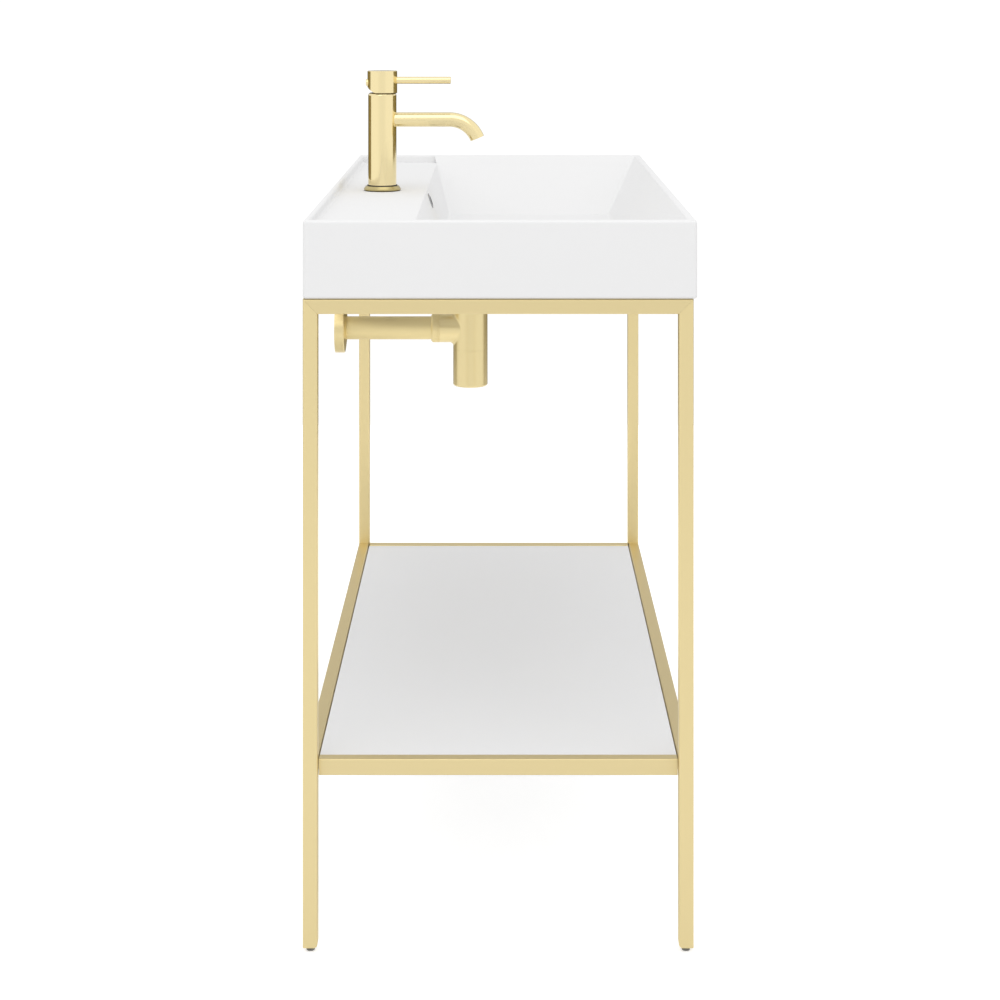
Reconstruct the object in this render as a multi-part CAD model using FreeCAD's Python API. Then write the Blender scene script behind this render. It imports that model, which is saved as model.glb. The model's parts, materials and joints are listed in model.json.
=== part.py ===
import FreeCAD, Part
import math
import os
from FreeCAD import Placement, Rotation, Vector

# Console washbasin on a four-legged frame with a lower shelf, a single-lever mixer and a bottle trap.
# Millimetres. +Z is up, +Y points to the wall, +X runs along the basin to the user's right.
# The origin is on the floor, under the middle of the basin. The rest pose has the lever forward, the
# plug down and the feet at their normal height.

# ---------------------------------------------------------------- driving sizes: basin
basin_length = 1000.0
basin_depth = 460.0
basin_height = 91.0
basin_corner_radius = 4.0
rim_end_width = 12.0
rim_front_width = 9.0
rim_back_width = 7.0
rim_round = 3.0
foot_edge_round = 3.0
ledge_drop = 11.5
ledge_thickness = 11.0
bowl_floor_drop = 81.0
bowl_wall_thickness = 10.0
bowl_end_run = 151.0
bowl_front_run = 52.0
bowl_rear_run = 28.0
bowl_rear_from_wall = 123.0
bowl_inner_round = 8.0
ledge_step_lap = 40.0
ledge_corner_round = 3.0
ledge_edge_round = 2.5
skirt_back_thickness = 9.0
basin_bolt_spacing = 280.0
basin_bolt_hole_radius = 7.0
basin_bolt_below_rim = 53.0

# ---------------------------------------------------------------- driving sizes: frame
frame_height = 761.0
frame_end_inset = 2.0
frame_front_inset = 4.2
tube_side = 17.2
tube_wall = 1.5
tube_corner_radius = 1.8
weld_line = 0.1
bedding_thickness = 1.0
bedding_inset = 1.5
bedding_width = 14.0
leg_end_height = 5.0
leg_plug_height = 25.0
leg_end_round = 4.5
frame_screw_spacing = 760.0
frame_screw_hole_radius = 3.5

# ---------------------------------------------------------------- driving sizes: shelf
shelf_frame_top = 221.0
shelf_rail_width = 16.2
shelf_rail_height = 19.2
shelf_rail_end_inset = 12.0
shelf_joint_gap = 0.6
shelf_gap = 1.2
shelf_recess = 1.0
shelf_thickness = 12.0
shelf_edge_round = 1.0
shelf_pad_thickness = 1.5
shelf_pad_radius = 7.0
shelf_pad_inset = 1.0
shelf_tab_thickness = 2.5
shelf_tab_length = 40.0
shelf_tab_reach = 20.0
shelf_tabs_per_side = 3

# ---------------------------------------------------------------- driving sizes: levelling feet
foot_radius = 4.9
foot_shank_length = 34.0
foot_clearance = 0.08
foot_screw_bevel = 1.0
glide_thickness = 2.0
foot_socket_radius = 2.5
foot_socket_depth = 5.0

# ---------------------------------------------------------------- driving sizes: mixer tap
tap_from_wall = 65.0
tap_hole_radius = 17.5
base_seal_thickness = 0.8
base_ring_radius = 25.7
base_ring_top_radius = 23.0
base_ring_height = 6.1
base_ring_foot = 2.6
body_seal_radius = 21.0
body_seal_thickness = 1.4
body_seal_lap = 1.0
body_radius = 19.8
body_height = 129.2
body_shoulder_round = 4.0
cartridge_radius = 12.8
cartridge_height = 32.0
cartridge_top_below_body = 10.5
cartridge_wall = 3.6
spout_radius = 10.15
spout_wall = 2.0
spout_height = 99.5
spout_bend_start = 94.1
spout_bend_radius = 42.0
spout_bend_angle = 68.0
spout_socket_depth = 5.0
aerator_length = 9.0
aerator_recess = 0.8
aerator_hole_radius = 1.1
aerator_hole_circle = 4.0
aerator_holes = 6
fit_clearance = 0.05
inlet_radius = 5.0
inlet_depth = 14.0
inlet_offset_x = 6.8
inlet_offset_y = 6.0
stud_radius = 4.0
stud_length = 88.0
stud_in_body = 15.0
stud_offset_y = 9.0
clamp_radius = 24.0
clamp_slot_width = 24.6
clamp_slot_to_stud = 2.0
clamp_rubber_thickness = 3.0
clamp_steel_thickness = 2.0
clamp_nut_flats = 13.0
clamp_nut_height = 7.0

# ---------------------------------------------------------------- driving sizes: tap handle
cap_radius = 20.8
cap_height = 31.5
cap_gap_above_shoulder = 3.0
cap_skirt_wall = 0.8
cap_wall = 3.9
cap_top_thickness = 6.0
cap_skirt_height = 10.0
cap_edge_bevel = 0.7
cap_boss_radius = 7.5
cap_boss_drop = 15.0
cutaway_start = (5.3, -0.4)
cutaway_middle = (13.6, 2.9)
cutaway_end = (22.1, 10.8)
pivot_above_shoulder = 0.0
pivot_pin_radius = 1.5
pivot_pin_length = 15.0
spindle_half_width = 3.8
spindle_half_depth = 3.2
spindle_foot_radius = 3.6
spindle_height = 23.5
carrier_radius = 9.0
carrier_disc_height = 5.5
carrier_ear_top = 4.0
carrier_ear_depth = 5.0
carrier_ear_clearance = 0.2
carrier_stem_radius = 5.0
carrier_stem_length = 8.0
lever_radius = 4.9
lever_reach = 96.0
lever_above_cap_bottom = 18.0
lever_root = 15.5
lever_tip_bevel = 0.6
grub_radius = 2.5
grub_length = 4.0
plug_radius = 4.8
plug_proud = 2.0
plug_above_cap_bottom = 15.0

# ---------------------------------------------------------------- driving sizes: overflow and waste
overflow_hole_radius = 9.2
overflow_below_rim = 26.0
overflow_ring_radius = 10.6
overflow_ring_bore = 7.6
overflow_ring_proud = 1.8
overflow_ring_shank = 8.0
duct_width = 30.0
duct_gap = 10.0
duct_wall = 8.0
waste_from_wall = 188.5
waste_boss_radius = 38.0
waste_boss_height = 30.0
waste_hole_radius = 23.0
waste_flange_radius = 31.5
waste_flange_thickness = 2.5
waste_seal_thickness = 1.0
waste_seal_inset = 1.0
seal_clearance = 0.3
waste_tube_radius = 20.9
waste_tube_bore = 17.6
waste_tube_length = 67.0
waste_slot_height = 10.0
waste_hub_radius = 7.0
waste_hub_height = 8.0
waste_hub_drop = 30.0
waste_arm_width = 3.0
plug_cover_radius = 31.0
plug_cover_thickness = 4.0
plug_cover_gap = 0.4
plug_dome_rise = 2.0
plug_stem_radius = 4.0
plug_stem_length = 42.0
plug_spigot_radius = 16.8
plug_spigot_wall = 1.5
plug_spigot_length = 8.0
lower_seal_thickness = 4.0
lower_seal_inset = 4.0
lower_seal_taper = 2.0
back_nut_flats = 60.0
back_nut_height = 9.0
back_nut_corner_height = 2.0

# ---------------------------------------------------------------- driving sizes: bottle trap
pipe_radius = 16.0
pipe_wall = 1.2
tail_nut_radius = 25.0
tail_nut_height = 21.0
tail_nut_lip = 2.0
tail_seal_thickness = 2.5
inlet_collar_radius = 20.3
inlet_collar_thickness = 2.0
bottle_radius = 24.0
bottle_wall = 2.0
trap_neck_length = 7.45
bottle_round = 2.5
cup_height = 51.3
bottle_joint_line = 0.1
bottle_spigot = 12.0
bottle_nut_radius = 24.6
bottle_nut_height = 12.0
bottle_nut_bevel = 1.0
dip_tube_clearance = 21.3
boss_below_top = 11.1
joint_below_boss = 3.9
outlet_boss_radius = 20.0
outlet_boss_reach = 43.0
outlet_boss_round = 5.0
outlet_nut_length = 9.1
outlet_nut_bevel = 2.0
outlet_end_length = 12.0
outlet_groove_width = 1.0
outlet_groove_depth = 0.5
outlet_ring_length = 2.4
outlet_ring_bevel = 0.3
wall_flange_radius = 34.3
wall_flange_rim = 12.2
wall_flange_cone = 3.4
wall_flange_skin = 1.5
wall_flange_edge = 1.0

# ---------------------------------------------------------------- places worked out from them
wall_y = basin_depth / 2
basin_front_y = -basin_depth / 2
basin_bottom = frame_height + bedding_thickness
rim_top = basin_bottom + basin_height
ledge_top = rim_top - ledge_drop
ledge_under = ledge_top - ledge_thickness
bowl_floor = rim_top - bowl_floor_drop
bowl_half_length = basin_length / 2 - rim_end_width
bowl_front_y = basin_front_y + rim_front_width
bowl_rear_y = wall_y - bowl_rear_from_wall
rear_slope = bowl_rear_run / bowl_floor_drop

frame_half_length = basin_length / 2 - frame_end_inset
frame_front_y = basin_front_y + frame_front_inset
rail_under = frame_height - tube_side
leg_x = frame_half_length - tube_side / 2
leg_rear_y = wall_y - tube_side / 2
leg_front_y = frame_front_y + tube_side / 2
shelf_half_length = frame_half_length - tube_side
leg_sides = Vector(tube_side, tube_side, tube_side)
shelf_rail_sides = Vector(shelf_rail_width, shelf_rail_width, shelf_rail_height)
shelf_rail_z = shelf_frame_top - shelf_rail_height / 2
shelf_rail_front_y = frame_front_y + shelf_rail_width / 2
shelf_rail_rear_y = wall_y - shelf_rail_width / 2
shelf_cross_x = frame_half_length - shelf_rail_end_inset - shelf_rail_width / 2
panel_half_length = shelf_cross_x - shelf_rail_width / 2 - shelf_gap
panel_front_y = frame_front_y + shelf_rail_width + shelf_gap
panel_rear_y = wall_y - shelf_rail_width - shelf_gap
panel_top = shelf_frame_top - shelf_recess
panel_bottom = panel_top - shelf_thickness
pad_bottom = panel_bottom - shelf_pad_thickness

tap_y = wall_y - tap_from_wall
base_ring_bottom = ledge_top + base_seal_thickness
body_bottom = base_ring_bottom + base_ring_height + body_seal_thickness
body_top = body_bottom + body_height
shoulder_z = body_top - body_shoulder_round
spout_z = ledge_top + spout_height
cap_bottom = shoulder_z + cap_gap_above_shoulder
cap_skirt_bore = cap_radius - cap_skirt_wall
cap_bore = cap_radius - cap_wall
pivot_z = shoulder_z + pivot_above_shoulder
lever_z = cap_bottom + lever_above_cap_bottom
plug_z = cap_bottom + plug_above_cap_bottom
cartridge_top = body_top - cartridge_top_below_body
cartridge_bottom = cartridge_top - cartridge_height
carrier_bottom = cartridge_top + fit_clearance - carrier_disc_height

waste_y = wall_y - waste_from_wall
waste_boss_bottom = bowl_floor - waste_boss_height
waste_flange_bottom = bowl_floor + waste_seal_thickness
waste_flange_top = waste_flange_bottom + waste_flange_thickness
waste_tube_end = waste_flange_bottom - waste_tube_length
plug_cover_bottom = waste_flange_top + plug_cover_gap
inlet_collar_top = waste_tube_end - tail_seal_thickness
inlet_collar_bottom = inlet_collar_top - inlet_collar_thickness
tail_nut_bottom = inlet_collar_bottom - tail_nut_lip
bottle_top = tail_nut_bottom - trap_neck_length - bottle_nut_height - fit_clearance
outlet_height = bottle_top - boss_below_top - outlet_boss_radius
bottle_joint = outlet_height - outlet_boss_radius - outlet_boss_round - joint_below_boss
bottle_bottom = bottle_joint - cup_height
dip_tube_end = bottle_bottom + dip_tube_clearance
outlet_boss_end = waste_y + outlet_boss_reach

OVERSHOOT = 20.0  # how far a cutting tool runs past what it cuts


# ---------------------------------------------------------------- shape helpers
def box(x_range, y_range, z_range):
    corner = Vector(x_range[0], y_range[0], z_range[0])
    return Part.makeBox(x_range[1] - x_range[0], y_range[1] - y_range[0], z_range[1] - z_range[0], corner)


def centred(half):
    return (-half, half)


def rod(radius, start, end):
    """A round bar from one point to another."""
    run = end - start
    return Part.makeCylinder(radius, run.Length, start, run)


def sleeve(outer_radius, inner_radius, start, end):
    """A round tube from one point to another."""
    past = (end - start).normalize() * OVERSHOOT
    return rod(outer_radius, start, end).cut(rod(inner_radius, start - past, end + past))


def upright(radius, x, y, z_range):
    return rod(radius, Vector(x, y, z_range[0]), Vector(x, y, z_range[1]))


def upright_sleeve(outer_radius, inner_radius, x, y, z_range):
    return sleeve(outer_radius, inner_radius, Vector(x, y, z_range[0]), Vector(x, y, z_range[1]))


def turned(profile, base, direction):
    """A turned piece: the (radius, height) outline spun about direction from base."""
    points = [Vector(radius, 0, height) for radius, height in profile]
    face = Part.Face(Part.makePolygon(points + points[:1]))
    shape = face.revolve(Vector(0, 0, 0), Vector(0, 0, 1), 360)
    shape.Placement = Placement(base, Rotation(Vector(0, 0, 1), direction))
    return shape


def hexagon_bar(flats, x, y, z_range):
    corner = flats / math.sqrt(3)
    points = [Vector(x + corner * math.cos(math.radians(60 * i)), y + corner * math.sin(math.radians(60 * i)),
                     z_range[0]) for i in range(6)]
    return Part.Face(Part.makePolygon(points + points[:1])).extrude(Vector(0, 0, z_range[1] - z_range[0]))


def edges_within(shape, x=None, y=None, z=None):
    """The edges that lie wholly inside the given ranges of x, y and z."""
    near = 0.001
    found = []
    for edge in shape.Edges:
        span = edge.BoundBox
        spans = ((x, span.XMin, span.XMax), (y, span.YMin, span.YMax), (z, span.ZMin, span.ZMax))
        outside = [want for want, low, high in spans if want and (low < want[0] - near or high > want[1] + near)]
        if not outside:
            found.append(edge)
    return found


def edges_along(shape, direction):
    """The straight edges that run along a direction."""
    found = []
    for edge in shape.Edges:
        if isinstance(edge.Curve, Part.Line) and abs(edge.tangentAt(edge.FirstParameter) * direction) > 0.999:
            found.append(edge)
    return found


def rounded_tube(start, end, sides):
    """Rounded tube between the centres of its two ends; sides is its outer size along X, Y and Z."""
    run = end - start
    direction = Vector(run).normalize()
    along = Vector(abs(direction.x), abs(direction.y), abs(direction.z))

    def bar(trim, extra):
        grow = Vector((1 - along.x) * (sides.x / 2 - trim) + along.x * extra,
                      (1 - along.y) * (sides.y / 2 - trim) + along.y * extra,
                      (1 - along.z) * (sides.z / 2 - trim) + along.z * extra)
        low = Vector(min(start.x, end.x), min(start.y, end.y), min(start.z, end.z)) - grow
        high = Vector(max(start.x, end.x), max(start.y, end.y), max(start.z, end.z)) + grow
        return box((low.x, high.x), (low.y, high.y), (low.z, high.z))

    outer = bar(0, 0)
    outer = outer.makeFillet(tube_corner_radius, edges_along(outer, direction))
    return outer.cut(bar(tube_wall, OVERSHOOT))


def mitre_tool(corner, inward, keep_gap):
    """The wedge above a 45 degree joint that falls inward from an outer top corner, in the YZ plane."""
    reach = tube_side + OVERSHOOT
    half = basin_length
    y, z = corner
    drop = keep_gap * math.sqrt(2)
    points = [Vector(-half, y - inward * OVERSHOOT, z + OVERSHOOT - drop),
              Vector(-half, y + inward * reach, z - reach - drop),
              Vector(-half, y + inward * reach, z + OVERSHOOT)]
    return Part.Face(Part.makePolygon(points + points[:1])).extrude(Vector(2 * half, 0, 0))


# ---------------------------------------------------------------- basin
def bowl_form(offset, low_z, high_z):
    """The bowl's hollow as a tapered block between two heights, its walls moved outwards by offset."""
    def moved(run):
        return offset * math.hypot(1, run / bowl_floor_drop)

    outlines = []
    for z in (low_z, high_z):
        climb = (z - bowl_floor) / bowl_floor_drop
        half = bowl_half_length - bowl_end_run * (1 - climb) + moved(bowl_end_run)
        front = bowl_front_y + bowl_front_run * (1 - climb) - moved(bowl_front_run)
        rear = bowl_rear_y - bowl_rear_run * (1 - climb) + moved(bowl_rear_run)
        corners = [Vector(x, y, z) for x, y in ((-half, front), (half, front), (half, rear), (-half, rear))]
        outlines.append(Part.makePolygon(corners + corners[:1]))
    return Part.makeLoft(outlines, True, True)


def basin_hollow():
    """What is taken out of the basin from above: the bowl and the shallow step of the tap ledge."""
    above = rim_top + OVERSHOOT
    bowl = bowl_form(0, bowl_floor, above)
    bowl = bowl.makeFillet(bowl_inner_round, edges_within(bowl, z=(bowl_floor, above - 0.01))
                           + [e for e in bowl.Edges if e.BoundBox.ZLength > bowl_floor_drop])
    step = box(centred(bowl_half_length), (bowl_rear_y - ledge_step_lap, wall_y - rim_back_width),
               (ledge_top, above))
    round_edges = [e for e in edges_within(step, y=(bowl_rear_y, wall_y), z=(ledge_top, above))
                   if e.BoundBox.ZMin < above - 1]
    step = step.makeFillet(ledge_corner_round, round_edges)
    return bowl.fuse(step).removeSplitter()


def basin_underside():
    """The open hollow under the tap ledge and behind the sloping bowl walls."""
    reach = basin_length / 2 - rim_end_width
    room = box(centred(reach), (bowl_front_y - 1, wall_y - skirt_back_thickness),
               (basin_bottom - OVERSHOOT, ledge_under))
    return room.cut(bowl_form(bowl_wall_thickness, basin_bottom - 2 * OVERSHOOT, rim_top + OVERSHOOT))


def overflow_axis():
    """A point on the rear bowl wall and the wall's normal there, which points into the bowl."""
    drop = overflow_below_rim
    point = Vector(0, bowl_rear_y - rear_slope * drop, rim_top - drop)
    normal = Vector(0, -1, rear_slope).normalize()
    return point, normal


def basin():
    shape = box(centred(basin_length / 2), (basin_front_y, wall_y), (basin_bottom, rim_top))
    shape = shape.makeFillet(basin_corner_radius, edges_along(shape, Vector(0, 0, 1)))
    shape = shape.cut(basin_hollow())
    shape = shape.makeFillet(rim_round, edges_within(shape, z=(rim_top, rim_top)))
    shape = shape.makeFillet(foot_edge_round, edges_within(shape, z=(basin_bottom, basin_bottom)))
    lip = [e for e in edges_within(shape, x=centred(bowl_half_length - 2 * rim_round),
                                   y=(bowl_rear_y - bowl_rear_run, bowl_rear_y), z=(ledge_top, ledge_top))]
    shape = shape.makeFillet(ledge_edge_round, lip)
    shape = shape.cut(basin_underside())

    # the waste boss under the bowl, and the closed overflow duct that runs down the rear wall into it
    duct_half = duct_width / 2
    duct_back = bowl_rear_y + bowl_wall_thickness + duct_gap
    shape = shape.fuse(upright(waste_boss_radius, 0, waste_y, (waste_boss_bottom, bowl_floor - 1)))
    duct_block = box(centred(duct_half + duct_wall), (waste_y, duct_back + duct_wall),
                     (waste_boss_bottom, ledge_under + 1)).cut(bowl_form(1, waste_boss_bottom - 1, rim_top))
    shape = shape.fuse(duct_block).removeSplitter()
    point, normal = overflow_axis()
    duct_low = waste_boss_bottom + duct_wall
    rise = box(centred(duct_half), (duct_back - duct_gap, duct_back), (duct_low, point.z + duct_gap / 2))
    run = box(centred(duct_half), (waste_y, duct_back), (duct_low, duct_low + duct_gap))
    hole = rod(overflow_hole_radius, point + normal * OVERSHOOT, point - normal * (2 * bowl_wall_thickness))
    shape = shape.cut(rise.fuse(run)).cut(hole)

    # the waste hole, the tap hole and the two wall bolts
    shape = shape.cut(upright(waste_hole_radius, 0, waste_y, (waste_boss_bottom - 1, bowl_floor + OVERSHOOT)))
    shape = shape.cut(upright(tap_hole_radius, 0, tap_y, (ledge_under - 1, ledge_top + 1)))
    bolt_z = rim_top - basin_bolt_below_rim
    for side in (-1, 1):
        x = side * basin_bolt_spacing / 2
        shape = shape.cut(rod(basin_bolt_hole_radius, Vector(x, wall_y - 2 * skirt_back_thickness, bolt_z),
                              Vector(x, wall_y + 1, bolt_z)))
    return shape


def overflow_ring():
    point, normal = overflow_axis()
    shank = overflow_hole_radius - fit_clearance
    bevel = overflow_ring_proud / 3
    profile = [(overflow_ring_bore, -overflow_ring_shank), (shank, -overflow_ring_shank), (shank, 0),
               (overflow_ring_radius, 0), (overflow_ring_radius, overflow_ring_proud - bevel),
               (overflow_ring_radius - bevel, overflow_ring_proud), (overflow_ring_bore, overflow_ring_proud)]
    return turned(profile, point, normal)


# ---------------------------------------------------------------- frame
def leg_end_tool(x, inner_y, inward):
    """What is ground off the leg's inner bottom edge to round it."""
    centre_y = inner_y - inward * leg_end_round
    centre_z = leg_end_height + leg_end_round
    corner = box((x - tube_side, x + tube_side), sorted((centre_y, inner_y + inward)),
                 (leg_end_height - 1, centre_z))
    return corner.cut(rod(leg_end_round, Vector(x - tube_side, centre_y, centre_z),
                          Vector(x + tube_side, centre_y, centre_z)))


def leg(side_x, y, inward):
    """One leg, closed at the foot by a welded plug that takes the levelling screw."""
    x = side_x * leg_x
    bar = rounded_tube(Vector(x, y, leg_end_height), Vector(x, y, frame_height), leg_sides)
    inner_half = tube_side / 2 - tube_wall
    plug = box((x - inner_half, x + inner_half), (y - inner_half, y + inner_half),
               (leg_end_height, leg_end_height + leg_plug_height))
    bar = bar.fuse(plug).removeSplitter()
    bar = bar.cut(leg_end_tool(x, y + inward * tube_side / 2, inward))
    bar = bar.cut(upright(foot_radius + foot_clearance, x, y, (0, leg_end_height + leg_plug_height + 1)))
    corner = (y - inward * tube_side / 2, frame_height)
    return bar.cut(mitre_tool(corner, inward, weld_line / 2))


def top_cross_rail(side_x):
    """End rail under the basin, mitred to the two legs."""
    x = side_x * leg_x
    z = frame_height - tube_side / 2
    bar = rounded_tube(Vector(x, frame_front_y, z), Vector(x, wall_y, z), leg_sides)
    half = basin_length
    low = rail_under - OVERSHOOT
    high = frame_height + OVERSHOOT
    step = weld_line / math.sqrt(2)
    splay = frame_height + step
    points = [Vector(-half, frame_front_y + (splay - low), low),
              Vector(-half, wall_y - (splay - low), low),
              Vector(-half, wall_y - (splay - high), high),
              Vector(-half, frame_front_y + (splay - high), high)]
    keep = Part.Face(Part.makePolygon(points + points[:1])).extrude(Vector(2 * half, 0, 0))
    return bar.common(keep)


def top_long_rail(y):
    z = frame_height - tube_side / 2
    half = frame_half_length - tube_side
    return rounded_tube(Vector(-half, y, z), Vector(half, y, z), leg_sides)


def top_rear_rail():
    """The rear rail has two plain holes for the screws that hold the frame to the wall."""
    rail = top_long_rail(leg_rear_y)
    z = frame_height - tube_side / 2
    for side in (-1, 1):
        x = side * frame_screw_spacing / 2
        rail = rail.cut(rod(frame_screw_hole_radius, Vector(x, wall_y - 2 * tube_side, z),
                            Vector(x, wall_y + 1, z)))
    return rail


def shelf_long_rail(y):
    left = Vector(-shelf_half_length, y, shelf_rail_z)
    right = Vector(shelf_half_length, y, shelf_rail_z)
    return rounded_tube(left, right, shelf_rail_sides)


def shelf_cross_rail(side_x):
    """End rail of the shelf, set back from the legs' outer faces; a fine joint line shows at each leg."""
    x = side_x * shelf_cross_x
    low = frame_front_y + tube_side + shelf_joint_gap
    high = wall_y - tube_side - shelf_joint_gap
    return rounded_tube(Vector(x, low, shelf_rail_z), Vector(x, high, shelf_rail_z), shelf_rail_sides)


def bedding_strip():
    """Soft strip between the frame and the basin."""
    def ring(inset, z_range):
        half = frame_half_length - inset
        return box(centred(half), (frame_front_y + inset, wall_y - inset), z_range)

    inner_cut = ring(bedding_inset + bedding_width, (frame_height - 1, basin_bottom + 1))
    return ring(bedding_inset, (frame_height, basin_bottom)).cut(inner_cut)


# ---------------------------------------------------------------- shelf
def shelf_panel():
    panel = box(centred(panel_half_length), (panel_front_y, panel_rear_y), (panel_bottom, panel_top))
    top_edges = edges_within(panel, z=(panel_top, panel_top))
    return panel.makeFillet(shelf_edge_round, top_edges + edges_along(panel, Vector(0, 0, 1)))


def shelf_tab_places():
    """Where the shelf's supports sit: (x, y of the rail's inner face, direction into the shelf)."""
    spread = 2 * panel_half_length / shelf_tabs_per_side
    places = []
    for inner_y, inward in ((wall_y - shelf_rail_width, -1), (frame_front_y + shelf_rail_width, 1)):
        for i in range(shelf_tabs_per_side):
            x = -panel_half_length + spread * (i + 0.5)
            places.append((x, inner_y, inward))
    return places


def shelf_tabs():
    tabs = []
    for x, inner_y, inward in shelf_tab_places():
        y_range = sorted((inner_y, inner_y + inward * shelf_tab_reach))
        half = shelf_tab_length / 2
        tabs.append(box((x - half, x + half), y_range, (pad_bottom - shelf_tab_thickness, pad_bottom)))
    return Part.makeCompound(tabs)


def shelf_pads():
    pads = []
    for x, inner_y, inward in shelf_tab_places():
        y = inner_y + inward * (shelf_tab_reach - shelf_pad_radius - shelf_pad_inset)
        pads.append(upright(shelf_pad_radius, x, y, (pad_bottom, panel_bottom)))
    return Part.makeCompound(pads)


# ---------------------------------------------------------------- levelling feet
def foot_screw(side_x, y):
    x = side_x * leg_x
    top = glide_thickness + foot_shank_length
    screw = upright(foot_radius, x, y, (glide_thickness, top))
    screw = screw.makeChamfer(foot_screw_bevel, edges_within(screw, z=(top, top)))
    socket = hexagon_bar(2 * foot_socket_radius, x, y, (top - foot_socket_depth, top + 1))
    return screw.cut(socket)


def foot_glide(side_x, y):
    glide = upright(foot_radius, side_x * leg_x, y, (0, glide_thickness))
    return glide.makeFillet(glide_thickness / 4, edges_within(glide, z=(0, 0)))


# ---------------------------------------------------------------- mixer tap: fixed pieces
def tap_base_seal():
    return upright_sleeve(base_ring_top_radius, tap_hole_radius, 0, tap_y, (ledge_top, base_ring_bottom))


def tap_base_ring():
    profile = [(tap_hole_radius, 0), (base_ring_radius, 0), (base_ring_radius, base_ring_foot),
               (base_ring_top_radius, base_ring_height), (tap_hole_radius, base_ring_height)]
    return turned(profile, Vector(0, tap_y, base_ring_bottom), Vector(0, 0, 1))


def tap_body_seal():
    bottom = base_ring_bottom + base_ring_height
    return upright_sleeve(body_seal_radius, tap_hole_radius - body_seal_lap, 0, tap_y, (bottom, body_bottom))


def spout_path(first_y):
    """The spout's centre line: straight out of the body, then down round the bend."""
    bend_y = tap_y - spout_bend_start
    angle = math.radians(spout_bend_angle)

    def on_bend(turn):
        return Vector(0, bend_y - spout_bend_radius * math.sin(turn),
                      spout_z - spout_bend_radius * (1 - math.cos(turn)))

    start = Vector(0, first_y, spout_z)
    tip = on_bend(angle)
    direction = Vector(0, -math.cos(angle), -math.sin(angle))
    straight = Part.LineSegment(start, on_bend(0)).toShape()
    bend = Part.Arc(on_bend(0), on_bend(angle / 2), tip).toShape()
    return Part.Wire([straight, bend]), tip, direction


def spout_pipe(radius, first_y):
    path, tip, direction = spout_path(first_y)
    ring = Part.Wire(Part.Circle(Vector(0, first_y, spout_z), Vector(0, -1, 0), radius).toShape())
    return path.makePipeShell([ring], True, False)


def tap_body():
    shape = upright(body_radius, 0, tap_y, (body_bottom, body_top))
    shape = shape.makeFillet(body_shoulder_round, edges_within(shape, z=(body_top, body_top)))
    bore = cartridge_radius + fit_clearance
    shape = shape.cut(upright(bore, 0, tap_y, (cartridge_bottom, body_top + 1)))
    socket = rod(spout_radius + fit_clearance, Vector(0, tap_y - body_radius + spout_socket_depth, spout_z),
                 Vector(0, tap_y - body_radius - OVERSHOOT, spout_z))
    shape = shape.cut(socket)
    for side in (-1, 1):
        shape = shape.cut(upright(inlet_radius, side * inlet_offset_x, tap_y - inlet_offset_y,
                                  (body_bottom - 1, body_bottom + inlet_depth)))
    stud_hole = upright(stud_radius, 0, tap_y + stud_offset_y, (body_bottom - 1, body_bottom + stud_in_body))
    return shape.cut(stud_hole)


def tap_spout():
    first_y = tap_y - body_radius + spout_socket_depth
    pipe = spout_pipe(spout_radius, first_y).cut(spout_pipe(spout_radius - spout_wall, first_y))
    path, tip, direction = spout_path(first_y)
    seat = tip - direction * (aerator_recess + aerator_length)
    return pipe.cut(rod(spout_radius - spout_wall, seat, tip + direction * OVERSHOOT))


def tap_aerator():
    path, tip, direction = spout_path(tap_y)
    radius = spout_radius - spout_wall - fit_clearance
    outer_end = tip - direction * aerator_recess
    body = rod(radius, outer_end - direction * aerator_length, outer_end)
    across = Vector(1, 0, 0)
    body = body.cut(rod(radius * 0.8, outer_end - direction * (aerator_recess + 1), outer_end + direction))
    for i in range(aerator_holes):
        turn = Rotation(direction, 360.0 * i / aerator_holes)
        middle = outer_end + turn.multVec(across) * aerator_hole_circle
        body = body.cut(rod(aerator_hole_radius, middle - direction * 2 * aerator_length, middle + direction))
    return body


def tap_cartridge():
    """Closed ceramic-disc cartridge with a round recess in its top for the turning carrier."""
    shape = upright(cartridge_radius, 0, tap_y, (cartridge_bottom, cartridge_top))
    recess = upright(cartridge_radius - cartridge_wall, 0, tap_y,
                     (carrier_bottom - fit_clearance, cartridge_top + 1))
    stem = upright(carrier_stem_radius + fit_clearance, 0, tap_y,
                   (carrier_bottom - carrier_stem_length - fit_clearance, cartridge_top))
    return shape.cut(recess).cut(stem)


def cartridge_nut():
    bore = cartridge_radius - cartridge_wall + 2 * fit_clearance
    low = cartridge_top + 2 * fit_clearance
    return upright_sleeve(cartridge_radius, bore, 0, tap_y, (low, body_top - fit_clearance))


def tap_stud():
    return upright(stud_radius - fit_clearance, 0, tap_y + stud_offset_y,
                   (body_bottom + stud_in_body - stud_length, body_bottom + stud_in_body))


def clamp_plate(low, thickness, hole_clearance):
    """Horseshoe plate under the ledge, open at the front for the two supply tails."""
    plate = upright(clamp_radius, 0, tap_y, (low, low + thickness))
    mouth_back = tap_y + stud_offset_y - 2 * stud_radius + clamp_slot_to_stud
    mouth = box(centred(clamp_slot_width / 2), (tap_y - 2 * clamp_radius, mouth_back),
                (low - 1, low + thickness + 1))
    hole = upright(stud_radius + hole_clearance, 0, tap_y + stud_offset_y, (low - 1, low + thickness + 1))
    return plate.cut(mouth).cut(hole)


def clamp_rubber():
    return clamp_plate(ledge_under - clamp_rubber_thickness, clamp_rubber_thickness, fit_clearance)


def clamp_steel():
    return clamp_plate(ledge_under - clamp_rubber_thickness - clamp_steel_thickness, clamp_steel_thickness,
                       4 * fit_clearance)


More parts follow.
